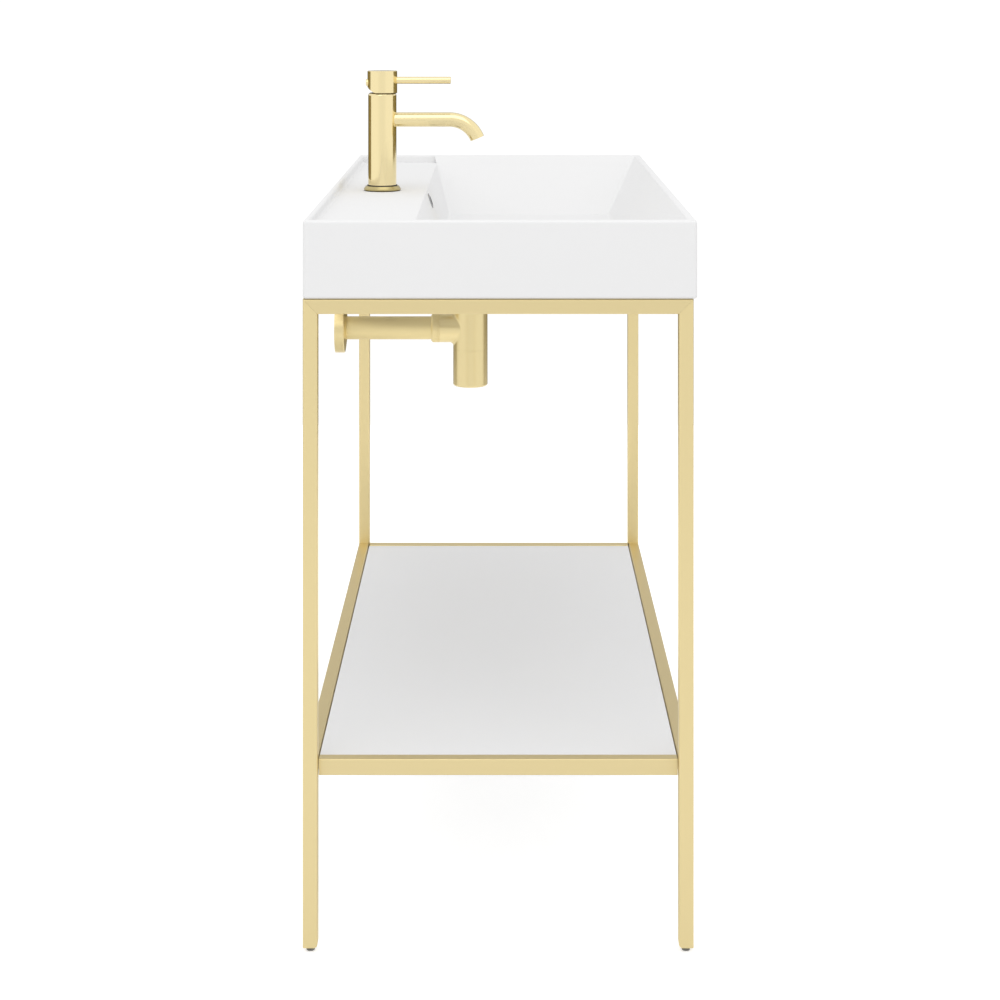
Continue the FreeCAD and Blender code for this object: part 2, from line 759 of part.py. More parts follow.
def clamp_nut():
    top = ledge_under - clamp_rubber_thickness - clamp_steel_thickness
    z_range = (top - clamp_nut_height, top)
    nut = hexagon_bar(clamp_nut_flats, 0, tap_y + stud_offset_y, z_range)
    return nut.cut(upright(stud_radius, 0, tap_y + stud_offset_y, (z_range[0] - 1, z_range[1] + 1)))


# ---------------------------------------------------------------- mixer tap: the handle
def handle_carrier():
    """Turns in the cartridge and carries the lift pin between two ears."""
    disc_top = carrier_bottom + carrier_disc_height
    disc = upright(carrier_radius, 0, tap_y, (carrier_bottom, disc_top))
    stem = upright(carrier_stem_radius, 0, tap_y, (carrier_bottom - carrier_stem_length, carrier_bottom))
    shape = disc.fuse(stem)
    inner = spindle_half_width + carrier_ear_clearance
    for side in (-1, 1):
        x_range = sorted((side * inner, side * pivot_pin_length / 2))
        ear = box(x_range, (tap_y - carrier_ear_depth, tap_y + carrier_ear_depth),
                  (disc_top, pivot_z + carrier_ear_top))
        shape = shape.fuse(ear)
    pin_hole = rod(pivot_pin_radius, Vector(-pivot_pin_length, tap_y, pivot_z),
                   Vector(pivot_pin_length, tap_y, pivot_z))
    return shape.removeSplitter().cut(pin_hole)


def handle_pin():
    half = pivot_pin_length / 2
    return rod(pivot_pin_radius, Vector(-half, tap_y, pivot_z), Vector(half, tap_y, pivot_z))


def handle_spindle():
    """Square lever arm that rocks on the pin and fits the cap's boss."""
    half = spindle_half_width
    foot = rod(spindle_foot_radius, Vector(-half, tap_y, pivot_z), Vector(half, tap_y, pivot_z))
    arm = box(centred(half), (tap_y - spindle_half_depth, tap_y + spindle_half_depth),
              (pivot_z, pivot_z + spindle_height))
    hole = rod(pivot_pin_radius + fit_clearance, Vector(-2 * half, tap_y, pivot_z),
               Vector(2 * half, tap_y, pivot_z))
    return foot.fuse(arm).removeSplitter().cut(hole)


def cutaway_tool():
    """Everything under the curve at the back of the cap, which lets the cap tip without touching the body."""
    def place(offset, rise):
        return Vector(-2 * cap_radius, tap_y + offset, cap_bottom + rise)

    start, end = place(*cutaway_start), place(*cutaway_end)
    curve = Part.Arc(start, place(*cutaway_middle), end).toShape()
    low_end = place(cutaway_end[0], -OVERSHOOT)
    low_start = place(cutaway_start[0], -OVERSHOOT)
    lines = [Part.LineSegment(end, low_end).toShape(), Part.LineSegment(low_end, low_start).toShape(),
             Part.LineSegment(low_start, start).toShape()]
    return Part.Face(Part.Wire([curve] + lines)).extrude(Vector(4 * cap_radius, 0, 0))


def handle_cap():
    """Hollow turned cap: thin skirt over the body's shoulder, thick wall above, boss for the spindle."""
    ceiling = cap_height - cap_top_thickness
    boss_end = ceiling - cap_boss_drop
    bevel = cap_edge_bevel
    profile = [(cap_skirt_bore, 0), (cap_radius - bevel / 2, 0), (cap_radius, bevel),
               (cap_radius, cap_height - bevel), (cap_radius - bevel, cap_height), (0, cap_height),
               (0, boss_end), (cap_boss_radius, boss_end), (cap_boss_radius, ceiling), (cap_bore, ceiling),
               (cap_bore, cap_skirt_height), (cap_skirt_bore, cap_skirt_height)]
    shape = turned(profile, Vector(0, tap_y, cap_bottom), Vector(0, 0, 1))
    spindle_top = pivot_z + spindle_height + fit_clearance
    half_depth = spindle_half_depth + fit_clearance
    shape = shape.cut(box(centred(spindle_half_width + fit_clearance), (tap_y - half_depth, tap_y + half_depth),
                          (pivot_z, spindle_top)))
    shape = shape.cut(cutaway_tool())
    shape = shape.cut(rod(lever_radius + fit_clearance, Vector(0, tap_y - cap_boss_radius - 1, lever_z),
                          Vector(0, tap_y - 2 * cap_radius, lever_z)))
    return shape.cut(rod(grub_radius + fit_clearance, Vector(0, tap_y, plug_z),
                         Vector(0, tap_y + 2 * cap_radius, plug_z)))


def tap_lever():
    start = Vector(0, tap_y - lever_root, lever_z)
    end = Vector(0, tap_y - lever_reach, lever_z)
    bar = rod(lever_radius, start, end)
    return bar.makeChamfer(lever_tip_bevel, edges_within(bar, y=(end.y, end.y)))


def handle_grub_screw():
    """Set screw in the boss that grips the spindle."""
    start = tap_y + spindle_half_depth + fit_clearance
    bar = rod(grub_radius, Vector(0, start, plug_z), Vector(0, start + grub_length, plug_z))
    socket = rod(grub_radius / 2, Vector(0, start + grub_length / 2, plug_z),
                 Vector(0, start + 2 * grub_length, plug_z))
    return bar.cut(socket)


def handle_plug():
    """Button that closes the set screw's hole at the back of the cap."""
    seat = tap_y + math.sqrt(cap_radius ** 2 - plug_radius ** 2)
    face = tap_y + cap_radius + plug_proud
    button = rod(plug_radius, Vector(0, seat, plug_z), Vector(0, face, plug_z))
    button = button.makeFillet(plug_proud / 2, edges_within(button, y=(face, face)))
    button = button.cut(upright(cap_radius, 0, tap_y, (plug_z - OVERSHOOT, plug_z + OVERSHOOT)))
    shank = rod(grub_radius, Vector(0, tap_y + cap_bore, plug_z), Vector(0, face - plug_proud / 2, plug_z))
    return button.fuse(shank).removeSplitter()


# ---------------------------------------------------------------- waste
def waste_seal():
    return upright_sleeve(waste_flange_radius - waste_seal_inset, waste_tube_radius + seal_clearance, 0, waste_y,
                          (bowl_floor, waste_flange_bottom))


def waste_body():
    """Flanged waste with overflow slots and a three-armed hub that guides the plug's stem."""
    height = waste_flange_top - waste_tube_end
    neck = waste_tube_length
    bevel = waste_flange_thickness / 2
    profile = [(waste_tube_bore, 0), (waste_tube_radius, 0), (waste_tube_radius, neck),
               (waste_flange_radius, neck), (waste_flange_radius, height - bevel),
               (waste_flange_radius - bevel, height), (waste_tube_bore, height)]
    shape = turned(profile, Vector(0, waste_y, waste_tube_end), Vector(0, 0, 1))
    slot_low = waste_boss_bottom + duct_wall
    slot = box(centred(2 * waste_tube_radius), (waste_y - waste_tube_bore / 2, waste_y + waste_tube_bore / 2),
               (slot_low, slot_low + waste_slot_height))
    slots = slot.fuse(box(centred(waste_tube_bore / 2), (waste_y, waste_y + 2 * waste_tube_radius),
                          (slot_low, slot_low + waste_slot_height)))
    shape = shape.cut(slots)
    hub_top = waste_flange_top - waste_hub_drop
    hub_range = (hub_top - waste_hub_height, hub_top)
    hub = upright(waste_hub_radius, 0, waste_y, hub_range)
    for i in range(3):
        arm = box((0, waste_tube_bore + 1), (waste_y - waste_arm_width / 2, waste_y + waste_arm_width / 2),
                  hub_range)
        arm.rotate(Vector(0, waste_y, 0), Vector(0, 0, 1), 30 + 120 * i)
        hub = hub.fuse(arm)
    shape = shape.fuse(hub).removeSplitter()
    guide = upright(plug_stem_radius + fit_clearance, 0, waste_y, (hub_range[0] - 1, hub_range[1] + 1))
    return shape.cut(guide)


def waste_plug():
    """Press plug: a low dome on a stem, with a spigot that centres it in the waste."""
    edge = plug_cover_thickness / 2
    bottom = plug_cover_bottom
    cover = turned([(0, 0), (plug_cover_radius, 0), (plug_cover_radius, edge),
                    (plug_cover_radius - edge, plug_cover_thickness), (0, plug_cover_thickness)],
                   Vector(0, waste_y, bottom), Vector(0, 0, 1))
    dome_radius = (plug_cover_radius ** 2 + plug_dome_rise ** 2) / (2 * plug_dome_rise)
    dome_top = bottom + plug_cover_thickness + plug_dome_rise
    dome = Part.makeSphere(dome_radius, Vector(0, waste_y, dome_top - dome_radius))
    cap = upright(plug_cover_radius - edge, 0, waste_y,
                  (bottom + edge, dome_top + 1)).common(dome)
    centre = upright_sleeve(plug_spigot_radius, plug_spigot_radius - plug_spigot_wall, 0, waste_y,
                            (bottom - plug_spigot_length, bottom + 1))
    stem = upright(plug_stem_radius, 0, waste_y, (bottom - plug_stem_length, bottom + 1))
    return cover.fuse(cap).fuse(centre).fuse(stem).removeSplitter()


def waste_lower_seal():
    low = waste_boss_bottom - lower_seal_thickness
    bore = waste_tube_radius + seal_clearance
    top_radius = waste_boss_radius - lower_seal_inset
    profile = [(bore, 0), (top_radius - lower_seal_taper, 0), (top_radius, lower_seal_thickness),
               (bore, lower_seal_thickness)]
    return turned(profile, Vector(0, waste_y, low), Vector(0, 0, 1))


def waste_back_nut():
    top = waste_boss_bottom - lower_seal_thickness
    nut = hexagon_bar(back_nut_flats, 0, waste_y, (top - back_nut_height, top))
    rounding = upright(back_nut_flats / 2 + back_nut_corner_height, 0, waste_y, (top - back_nut_height, top))
    bore = upright(waste_tube_radius + fit_clearance, 0, waste_y, (top - 2 * back_nut_height, top + 1))
    return nut.common(rounding).cut(bore)


# ---------------------------------------------------------------- bottle trap
def trap_tail_nut():
    """Joins the waste's threaded tail to the trap's inlet pipe."""
    lip = tail_nut_lip
    bevel = lip / 2
    bore = waste_tube_radius + fit_clearance
    neck = pipe_radius + fit_clearance
    height = tail_nut_height
    profile = [(neck, 0), (tail_nut_radius - bevel, 0), (tail_nut_radius, bevel),
               (tail_nut_radius, height - bevel), (tail_nut_radius - bevel, height), (bore, height),
               (bore, lip), (neck, lip)]
    return turned(profile, Vector(0, waste_y, tail_nut_bottom), Vector(0, 0, 1))


def trap_inlet_seal():
    return upright_sleeve(inlet_collar_radius, pipe_radius - pipe_wall, 0, waste_y,
                          (inlet_collar_top, waste_tube_end))


def trap_inlet_pipe():
    bore = pipe_radius - pipe_wall
    pipe = upright_sleeve(pipe_radius, bore, 0, waste_y, (dip_tube_end, inlet_collar_top))
    collar = upright_sleeve(inlet_collar_radius, bore, 0, waste_y, (inlet_collar_bottom, inlet_collar_top))
    return pipe.fuse(collar).removeSplitter()


def trap_top_nut():
    bevel = bottle_nut_bevel
    height = bottle_nut_height
    bore = pipe_radius + fit_clearance
    profile = [(bore, 0), (bottle_nut_radius, 0), (bottle_nut_radius, height - bevel),
               (bottle_nut_radius - bevel, height), (bore, height)]
    return turned(profile, Vector(0, waste_y, bottle_top + fit_clearance), Vector(0, 0, 1))


def trap_body():
    """Upper bottle with its side boss, open below for the cup."""
    low = bottle_joint + bottle_joint_line
    outer = upright(bottle_radius, 0, waste_y, (low, bottle_top))
    boss = rod(outlet_boss_radius, Vector(0, waste_y, outlet_height),
               Vector(0, outlet_boss_end, outlet_height))
    shape = outer.fuse(boss).removeSplitter()
    seam = [e for e in edges_within(shape, y=(waste_y + 1, waste_y + bottle_radius + 1))
            if e.BoundBox.XLength > outlet_boss_radius]
    shape = shape.makeFillet(outlet_boss_round, seam)
    shape = shape.cut(upright(bottle_radius - bottle_wall, 0, waste_y, (low - 1, bottle_top - bottle_wall)))
    shape = shape.cut(upright(pipe_radius + fit_clearance, 0, waste_y,
                              (bottle_top - 2 * bottle_wall, bottle_top + 1)))
    return shape.cut(rod(pipe_radius + fit_clearance, Vector(0, waste_y + pipe_radius, outlet_height),
                         Vector(0, outlet_boss_end + 1, outlet_height)))


def trap_cup():
    """Bottom half of the bottle, which screws off to clear a blockage."""
    shape = upright(bottle_radius, 0, waste_y, (bottle_bottom, bottle_joint))
    shape = shape.makeFillet(bottle_round, edges_within(shape, z=(bottle_bottom, bottle_bottom)))
    spigot_radius = bottle_radius - bottle_wall - fit_clearance
    spigot = upright(spigot_radius, 0, waste_y,
                     (bottle_bottom + cup_height / 2, bottle_joint + bottle_spigot))
    hollow = upright(spigot_radius - bottle_wall, 0, waste_y,
                     (bottle_bottom + bottle_wall, bottle_joint + bottle_spigot + 1))
    return shape.fuse(spigot).removeSplitter().cut(hollow)


def trap_outlet_ring():
    """Thrust ring between the boss and the nut; its bevelled edges leave a fine line at each joint."""
    length = outlet_ring_length
    bevel = outlet_ring_bevel
    bore = pipe_radius + fit_clearance
    radius = outlet_boss_radius
    profile = [(bore, 0), (radius - bevel, 0), (radius, bevel), (radius, length - bevel),
               (radius - bevel, length), (bore, length)]
    return turned(profile, Vector(0, outlet_boss_end, outlet_height), Vector(0, 1, 0))


def trap_outlet_nut():
    """Round nut with a bevelled end towards the wall."""
    length = outlet_nut_length
    bore = pipe_radius + fit_clearance
    radius = outlet_boss_radius
    profile = [(bore, 0), (radius, 0), (radius, length - outlet_nut_bevel),
               (radius - outlet_nut_bevel, length), (bore, length)]
    return turned(profile, Vector(0, outlet_boss_end + outlet_ring_length, outlet_height), Vector(0, 1, 0))


def outlet_pipe():
    """The pipe to the wall; a rolled groove marks the stretch that goes into the drain's seal."""
    bore = pipe_radius - pipe_wall
    length = wall_y - (waste_y + bottle_radius + 1)
    groove_end = length - outlet_end_length
    groove_start = groove_end - outlet_groove_width
    groove_radius = pipe_radius - outlet_groove_depth
    profile = [(bore, 0), (pipe_radius, 0), (pipe_radius, groove_start), (groove_radius, groove_start),
               (groove_radius, groove_end), (pipe_radius, groove_end), (pipe_radius, length), (bore, length)]
    return turned(profile, Vector(0, wall_y - length, outlet_height), Vector(0, 1, 0))


def wall_flange():
    """Thin pressed cover that hides the hole in the wall."""
    skin = wall_flange_skin
    bore = pipe_radius + 2 * fit_clearance
    rim = wall_flange_rim
    radius = wall_flange_radius
    edge = wall_flange_edge
    profile = [(bore, rim + wall_flange_cone), (radius - edge, rim + edge), (radius, rim), (radius, 0),
               (radius - skin, 0), (radius - skin, rim - skin), (bore, rim + wall_flange_cone - skin)]
    return turned(profile, Vector(0, wall_y, outlet_height), Vector(0, -1, 0))


# ---------------------------------------------------------------- all pieces
def all_pieces():
    pieces = {
        "basin": basin(),
        "overflow_ring": overflow_ring(),
        "bedding_strip": bedding_strip(),
        "top_front_rail": top_long_rail(leg_front_y),
        "top_rear_rail": top_rear_rail(),
        "shelf_front_rail": shelf_long_rail(shelf_rail_front_y),
        "shelf_rear_rail": shelf_long_rail(shelf_rail_rear_y),
        "shelf_panel": shelf_panel(),
        "shelf_tabs": shelf_tabs(),
        "shelf_pads": shelf_pads(),
        "tap_base_seal": tap_base_seal(),
        "tap_base_ring": tap_base_ring(),
        "tap_body_seal": tap_body_seal(),
        "tap_body": tap_body(),
        "tap_spout": tap_spout(),
        "tap_aerator": tap_aerator(),
        "tap_cartridge": tap_cartridge(),
        "cartridge_nut": cartridge_nut(),
        "tap_stud": tap_stud(),
        "clamp_rubber": clamp_rubber(),
        "clamp_steel": clamp_steel(),
        "clamp_nut": clamp_nut(),
        "handle_carrier": handle_carrier(),
        "handle_pin": handle_pin(),
        "handle_spindle": handle_spindle(),
        "handle_cap": handle_cap(),
        "tap_lever": tap_lever(),
        "handle_grub_screw": handle_grub_screw(),
        "handle_plug": handle_plug(),
        "waste_seal": waste_seal(),
        "waste_body": waste_body(),
        "waste_plug": waste_plug(),
        "waste_lower_seal": waste_lower_seal(),
        "waste_back_nut": waste_back_nut(),
        "trap_tail_nut": trap_tail_nut(),
        "trap_inlet_seal": trap_inlet_seal(),
        "trap_inlet_pipe": trap_inlet_pipe(),
        "trap_top_nut": trap_top_nut(),
        "trap_body": trap_body(),
        "trap_cup": trap_cup(),
        "trap_outlet_ring": trap_outlet_ring(),
        "trap_outlet_nut": trap_outlet_nut(),
        "outlet_pipe": outlet_pipe(),
        "wall_flange": wall_flange(),
    }
    for end, side_x in (("left", -1), ("right", 1)):
        pieces["top_cross_rail_" + end] = top_cross_rail(side_x)
        pieces["shelf_cross_rail_" + end] = shelf_cross_rail(side_x)
        for place, y, inward in (("rear", leg_rear_y, -1), ("front", leg_front_y, 1)):
            corner = place + "_" + end
            pieces["leg_" + corner] = leg(side_x, y, inward)
            pieces["foot_screw_" + corner] = foot_screw(side_x, y)
            pieces["foot_glide_" + corner] = foot_glide(side_x, y)
    return pieces


os.makedirs("parts", exist_ok=True)
for name, shape in all_pieces().items():
    print(name, "solids", len(shape.Solids), "valid", shape.isValid(), "volume", round(shape.Volume))
    shape.exportStep("parts/" + name + ".step")
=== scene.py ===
import json
import math

import bmesh
import bpy
from mathutils import Matrix, Vector


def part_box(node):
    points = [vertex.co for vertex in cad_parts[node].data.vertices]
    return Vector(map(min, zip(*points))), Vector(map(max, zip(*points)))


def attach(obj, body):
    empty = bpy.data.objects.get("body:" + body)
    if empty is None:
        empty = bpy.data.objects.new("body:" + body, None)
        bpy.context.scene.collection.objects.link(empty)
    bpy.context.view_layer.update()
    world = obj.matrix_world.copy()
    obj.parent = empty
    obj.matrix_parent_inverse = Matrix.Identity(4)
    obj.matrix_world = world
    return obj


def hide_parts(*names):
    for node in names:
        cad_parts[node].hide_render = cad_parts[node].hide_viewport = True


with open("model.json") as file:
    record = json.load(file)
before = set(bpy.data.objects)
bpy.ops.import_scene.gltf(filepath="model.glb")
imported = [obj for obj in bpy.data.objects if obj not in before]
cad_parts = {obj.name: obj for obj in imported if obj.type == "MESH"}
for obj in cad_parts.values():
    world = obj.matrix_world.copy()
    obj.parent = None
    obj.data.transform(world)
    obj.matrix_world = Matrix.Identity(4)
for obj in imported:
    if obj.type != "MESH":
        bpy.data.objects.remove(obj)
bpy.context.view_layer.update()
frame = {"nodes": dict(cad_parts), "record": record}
nodes = frame["nodes"]
slot_of = {row["node"]: row["material_slot"] for row in frame["record"]["subparts"]}


# ---------------------------------------------------------------- node helpers
def main_shader(material):
    return next(node for node in material.node_tree.nodes if node.type == "BSDF_PRINCIPLED")


def new_material(name):
    material = bpy.data.materials.new(name)
    material.use_nodes = True
    return material, material.node_tree, main_shader(material)


def noise(tree, scale, detail, stretch=(1, 1, 1)):
    """Noise in the object's own coordinates, stretched along its axes."""
    where = tree.nodes.new("ShaderNodeTexCoord")
    mapping = tree.nodes.new("ShaderNodeMapping")
    mapping.inputs["Scale"].default_value = stretch
    texture = tree.nodes.new("ShaderNodeTexNoise")
    texture.inputs["Scale"].default_value = scale
    texture.inputs["Detail"].default_value = detail
    tree.links.new(where.outputs["Object"], mapping.inputs["Vector"])
    tree.links.new(mapping.outputs["Vector"], texture.inputs["Vector"])
    return texture.outputs["Fac"]


def spread(tree, value, low, high, span=(0.0, 1.0), curve="LINEAR"):
    """Maps a value within a span to a range from low to high, which holds its ends beyond the span."""
    ranged = tree.nodes.new("ShaderNodeMapRange")
    ranged.interpolation_type = curve
    for socket, number in zip(("From Min", "From Max", "To Min", "To Max"), (*span, low, high)):
        ranged.inputs[socket].default_value = number
    tree.links.new(value, ranged.inputs["Value"])
    return ranged.outputs["Result"]


def bump(tree, shader, value, strength, distance):
    node = tree.nodes.new("ShaderNodeBump")
    node.inputs["Strength"].default_value = strength
    node.inputs["Distance"].default_value = distance
    tree.links.new(value, node.inputs["Height"])
    tree.links.new(node.outputs["Normal"], shader.inputs["Normal"])


def two_tones(tree, value, first, second):
    """Goes from one tone to another with the value; each is a colour or another node's output."""
    mix = tree.nodes.new("ShaderNodeMix")
    mix.data_type = "RGBA"
    for socket, tone in (("A", first), ("B", second)):
        if isinstance(tone, tuple):
            mix.inputs[socket].default_value = (*tone, 1)
        else:
            tree.links.new(tone, mix.inputs[socket])
    tree.links.new(value, mix.inputs["Factor"])
    return mix.outputs["Result"]


def combine(tree, operation, first, second):
    """A Math node of two values, each a number or another node's output."""
    node = tree.nodes.new("ShaderNodeMath")
    node.operation = operation
    for i, value in enumerate((first, second)):
        if isinstance(value, (int, float)):
            node.inputs[i].default_value = value
        else:
            tree.links.new(value, node.inputs[i])
    return node.outputs["Value"]


# ---------------------------------------------------------------- kinds of material
EVEN = (1, 1, 1)
UPRIGHT = (1, 1, 0.1)  # grain drawn out along Z
FINE_GRAIN = 900.0
GRAIN_HEIGHT = 0.00002
GLAZE_WAVES = (0.05, 0.0004)  # strength and height of the bump
GLAZE_LIFT = 1.006  # how much lighter the lightest places are
SPECKLES = (0.15, 0.0001)  # strength and height of the bump
SPECKLE_LIFT = 1.25  # as for the glaze
# dark tone of the painted shade in the tap's joints and on its hidden cartridge nut
SHADE_BRONZE = (0.16, 0.125, 0.05)


def metal(name, light, dark, rough, bump_strength, grain=FINE_GRAIN, stretch=EVEN):
    """Metal with a fine grain: the grain moves its roughness, its tone a little, and its surface."""
    material, tree, shader = new_material(name)
    shader.inputs["Metallic"].default_value = 1.0
    fine = noise(tree, grain, detail=3.0, stretch=stretch)
    tree.links.new(two_tones(tree, fine, dark, light), shader.inputs["Base Color"])
    tree.links.new(spread(tree, fine, *rough), shader.inputs["Roughness"])
    bump(tree, shader, fine, bump_strength, GRAIN_HEIGHT)
    return material


def glaze(name, tone, rough, waves):
    """White glaze or lacquer in even light, drawn without its gloss: smooth, with a very slow waviness."""
    material, tree, shader = new_material(name)
    slow = noise(tree, waves, detail=1.0)
    lighter = tuple(min(1.0, channel * GLAZE_LIFT) for channel in tone)
    tree.links.new(two_tones(tree, slow, tone, lighter), shader.inputs["Base Color"])
    tree.links.new(spread(tree, slow, *rough), shader.inputs["Roughness"])
    shader.inputs["Specular IOR Level"].default_value = 0.0
    bump(tree, shader, slow, *GLAZE_WAVES)
    return material


def soft(name, tone, rough):
    """Rubber or plastic with a fine speckle."""
    material, tree, shader = new_material(name)
    speckle = noise(tree, FINE_GRAIN, detail=4.0)
    lighter = tuple(channel * SPECKLE_LIFT for channel in tone)
    tree.links.new(two_tones(tree, speckle, tone, lighter), shader.inputs["Base Color"])
    shader.inputs["Roughness"].default_value = rough
    bump(tree, shader, speckle, *SPECKLES)
    return material


def painted_shade_band(plain, name, low, high, tone):
    """Copy of a material with painted shade: a dark band between two heights, where a joint lies in shade.
    """
    material = plain.copy()
    material.name = name
    tree = material.node_tree
    shader = main_shader(material)
    usual = shader.inputs["Base Color"].links[0].from_socket
    where = tree.nodes.new("ShaderNodeTexCoord")
    split = tree.nodes.new("ShaderNodeSeparateXYZ")
    tree.links.new(where.outputs["Object"], split.inputs["Vector"])
    above = combine(tree, "GREATER_THAN", split.outputs["Z"], low)
    below = combine(tree, "LESS_THAN", split.outputs["Z"], high)
    # the band between the two heights takes the painted shade
    shade_mask = combine(tree, "MULTIPLY", above, below)
    tree.links.new(two_tones(tree, shade_mask, usual, tone), shader.inputs["Base Color"])
    return material


def painted_shade_foot(plain, name, node, height):
    """The material with painted shade along the lower edge of a node."""
    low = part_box(node)[0][2]
    return painted_shade_band(plain, name, low - height, low + height, SHADE_BRONZE)


# ---------------------------------------------------------------- materials
materials = {
    "ceramic": glaze("white_glaze", (0.825, 0.825, 0.827), (0.48, 0.52), 9.0),
    "shelf": glaze("white_lacquer", (0.825, 0.829, 0.841), (0.48, 0.52), 12.0),
    "frame": metal("pale_gold_coat", (0.82, 0.685, 0.372), (0.80, 0.67, 0.362), (0.36, 0.42), 0.10),
    "tap_brass": metal("brushed_pale_gold", (0.93, 0.79, 0.45), (0.92, 0.78, 0.445), (0.13, 0.15), 0.015,
                       stretch=UPRIGHT),
    "trap_brass": metal("satin_pale_gold", (0.82, 0.69, 0.375), (0.80, 0.67, 0.365), (0.28, 0.32), 0.03),
    "steel": metal("zinc_steel", (0.30, 0.30, 0.29), (0.25, 0.25, 0.24), (0.30, 0.42), 0.2, grain=700.0),
    "chrome": metal("polished_chrome", (0.42, 0.42, 0.43), (0.38, 0.38, 0.39), (0.10, 0.14), 0.02,
                    grain=300.0),
    "seal": soft("black_rubber", (0.02, 0.02, 0.02), 0.6),
    "glide": soft("grey_plastic", (0.20, 0.20, 0.19), 0.5),
    "plastic": soft("pale_plastic", (0.55, 0.55, 0.53), 0.4),
}
# the rails take a slightly darker copy of the frame coat: painted shade
rail_coat_painted_shade = metal("pale_gold_coat_rails_painted_shade", (0.78, 0.65, 0.356), (0.76, 0.635, 0.346), (0.36, 0.42), 0.10)
# the tap's base ring takes a much darker copy of the tap gold: painted shade
base_ring_gold_painted_shade = metal("painted_shade_pale_gold", (0.54, 0.45, 0.215), (0.53, 0.44, 0.21), (0.26, 0.30), 0.015)
pipe_gold = metal("satin_pale_gold_pipe", (0.83, 0.70, 0.38), (0.81, 0.68, 0.37), (0.46, 0.50), 0.03)

SHOULDER_SHADE = 0.0016  # height of the painted shade band at the top end of the tap body, under the handle cap
CAP_SHADE = 0.0009  # heights of the painted shade bands on the lower edges of handle cap, lever and base ring
LEVER_SHADE = 0.0007
RING_SHADE = 0.0009

tap_gold = materials["tap_brass"]
body_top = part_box("tap_body")[1][2]
# copies of the tap gold with painted shade: a dark band at the body's top under the cap, and along the lower
# edges of cap, lever and base ring
own_look = {
    "tap_body": painted_shade_band(tap_gold, "brushed_pale_gold_body_painted_shade", body_top - SHOULDER_SHADE,
                       body_top + SHOULDER_SHADE, SHADE_BRONZE),
    "handle_cap": painted_shade_foot(tap_gold, "brushed_pale_gold_cap_painted_shade", "handle_cap", CAP_SHADE),
    "tap_lever": painted_shade_foot(tap_gold, "brushed_pale_gold_lever_painted_shade", "tap_lever", LEVER_SHADE),
    # the hidden cartridge nut is dark all over: painted shade seen through the slit under the handle cap
    "cartridge_nut": metal("painted_shade_bronze", SHADE_BRONZE, SHADE_BRONZE, (0.3, 0.4), 0.03),
    "tap_base_ring": painted_shade_foot(base_ring_gold_painted_shade, "painted_shade_pale_gold_ring", "tap_base_ring", RING_SHADE),
    "bedding_strip": soft("clear_silicone", (0.42, 0.38, 0.27), 0.5),
    "outlet_pipe": pipe_gold,
    "trap_outlet_nut": pipe_gold,
    "trap_outlet_ring": pipe_gold,
}
for name in nodes:
    if slot_of[name] == "frame" and not name.startswith("leg_"):
        own_look[name] = rail_coat_painted_shade

for name, node in nodes.items():
    node.data.materials.clear()
    node.data.materials.append(own_look.get(name, materials[slot_of[name]]))


# ---------------------------------------------------------------- threads and the aerator's mesh
def finished(name, mesh, slot, body):
    """Makes an object of a finished bmesh, in its slot's material, and lets it ride on its body."""
    bmesh.ops.recalc_face_normals(mesh, faces=mesh.faces)
    data = bpy.data.meshes.new(name)
    mesh.to_mesh(data)
    mesh.free()
    data.materials.append(materials[slot])
    piece = bpy.data.objects.new(name, data)
    bpy.context.scene.collection.objects.link(piece)
    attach(piece, body)
    return piece


THREAD_DEPTH = 0.00055
THREAD_PITCH = 0.00125
THREAD_PROFILE = ((0.0, 0.0), (0.36, 1.0), (0.50, 1.0), (0.86, 0.0))  # shares of the pitch and of the depth
STEPS_A_TURN = 28


def thread_mesh(radius, x, y, low, high):
    """Closed screw: one ridge that climbs round it, cut flat at both ends."""
    root = radius - THREAD_DEPTH
    turns = math.ceil((high - low) / THREAD_PITCH) + 2
    mesh = bmesh.new()

    def vertex(step, distance, z):
        angle = 2 * math.pi * step / STEPS_A_TURN
        return mesh.verts.new((x + distance * math.cos(angle), y + distance * math.sin(angle), z))

    strips = []
    for i in range(turns * STEPS_A_TURN + 1):
        start = low - THREAD_PITCH + THREAD_PITCH * i / STEPS_A_TURN
        strip = []
        for along, rise in THREAD_PROFILE:
            z = min(max(start + along * THREAD_PITCH, low), high)
            strip.append(vertex(i, root + THREAD_DEPTH * rise, z))
        strips.append(strip)
    last = len(THREAD_PROFILE) - 1
    for i in range(len(strips) - 1):
        here, ahead = strips[i], strips[i + 1]
        for k in range(last):
            mesh.faces.new((here[k], ahead[k], ahead[k + 1], here[k + 1]))
        if i + STEPS_A_TURN + 1 < len(strips):
            over, over_ahead = strips[i + STEPS_A_TURN], strips[i + STEPS_A_TURN + 1]
            mesh.faces.new((here[last], ahead[last], over_ahead[0], over[0]))
    for z in (low, high):
        mesh.faces.new([vertex(i, root, z) for i in range(STEPS_A_TURN)])
    bmesh.ops.remove_doubles(mesh, verts=mesh.verts, dist=1e-7)
    return mesh


def threaded(node, body):
    """Gives a plain screw node its thread, within the node's own size and place."""
    low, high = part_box(node)
    radius = (high[0] - low[0]) / 2
    mesh = thread_mesh(radius, (low[0] + high[0]) / 2, (low[1] + high[1]) / 2, low[2], high[2])
    piece = finished(node + "_thread", mesh, slot_of[node], body)
    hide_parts(node)


MOUTH_SLOPE = math.radians(68)  # how steeply the spout points down at its mouth
MOUTH_RADIUS = 0.0063
WIRE_INSET = 0.0006
WIRE_WIDTH = 0.00022
WIRE_PITCH = 0.0010


